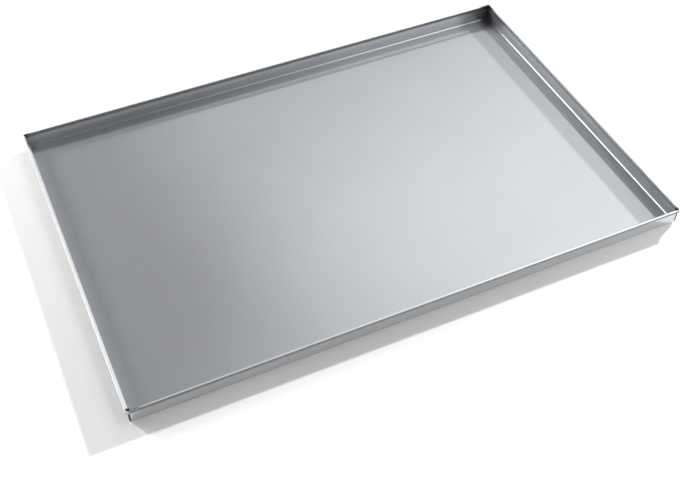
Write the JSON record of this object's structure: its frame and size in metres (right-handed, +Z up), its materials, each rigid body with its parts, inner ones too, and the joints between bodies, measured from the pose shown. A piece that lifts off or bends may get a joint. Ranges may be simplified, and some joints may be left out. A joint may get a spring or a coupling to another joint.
{
  "type": "cookie sheet",
  "caption": "Flat rectangular baking tray of folded sheet metal with low upright walls, a rolled and wired rim and welded square corners.",
  "frame": {"origin": "middle of the underside, on the surface that the tray stands on", "axes": "+Z up out of the tray, +X along the long sides, +Y from the front long side to the back one"},
  "size_m": [0.6004, 0.4004, 0.0202],
  "materials": {
    "aluminised_sheet": "hot-dip aluminised steel sheet, satin, with fine rolling lines",
    "rim_wire": "plain drawn steel wire",
    "corner_weld": "steel weld, left as welded and darkened by heat"
  },
  "bodies": {
    "root": {"tray_sheet": "aluminised_sheet", "rim_wire_front": "rim_wire", "rim_wire_back": "rim_wire", "rim_wire_left": "rim_wire", "rim_wire_right": "rim_wire", "corner_weld_front_left": "corner_weld", "corner_weld_front_right": "corner_weld", "corner_weld_back_left": "corner_weld", "corner_weld_back_right": "corner_weld"}
  },
  "joints": []
}
